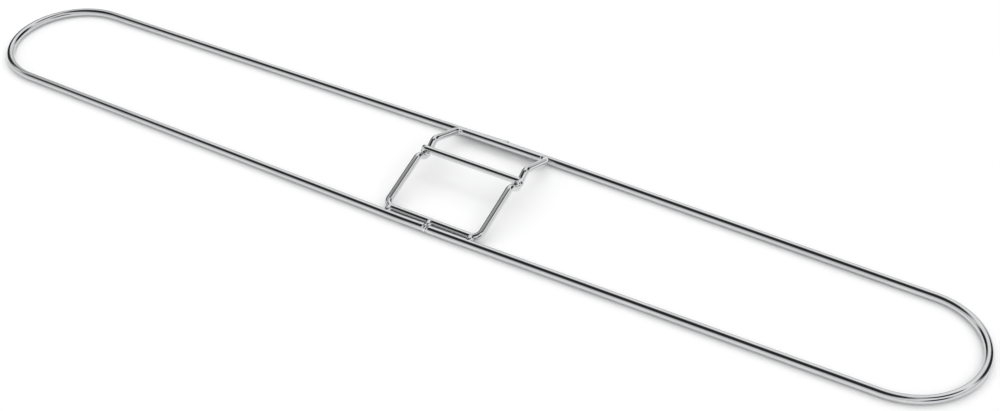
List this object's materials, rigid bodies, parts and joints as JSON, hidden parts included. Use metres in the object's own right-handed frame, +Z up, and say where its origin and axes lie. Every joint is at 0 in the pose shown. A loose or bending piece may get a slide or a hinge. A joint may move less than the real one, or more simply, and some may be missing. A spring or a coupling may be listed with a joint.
{
  "type": "dust mop frame",
  "caption": "Long wire loop frame with rounded ends that slips into a flat dust mop, with a raised wire bracket at its middle whose bar a clip-on handle grips.",
  "frame": {"origin": "bottom centre of the whole frame, on the floor that it lies on, under the middle of the loop", "axes": "+X along the loop towards the end that the bracket is nearer to, +Y from the front rail to the back rail, +Z up"},
  "size_m": [0.9144, 0.1318, 0.0243],
  "materials": {
    "loop_wire": "bright chrome-plated spring wire",
    "bail_wire": "bright chrome-plated wire",
    "weld": "chrome-plated weld bead, slightly rippled"
  },
  "bodies": {
    "root": {"left_half_loop": "loop_wire", "right_half_loop": "loop_wire", "front_splice_weld": "weld", "back_splice_weld": "weld", "front_bail": "bail_wire", "back_bail": "bail_wire", "handle_bar": "bail_wire", "front_weld_left": "weld", "front_weld_centre": "weld", "front_weld_right": "weld", "back_weld_left": "weld", "back_weld_centre": "weld", "back_weld_right": "weld", "handle_bar_weld_left": "weld", "handle_bar_weld_right": "weld"}
  },
  "joints": []
}
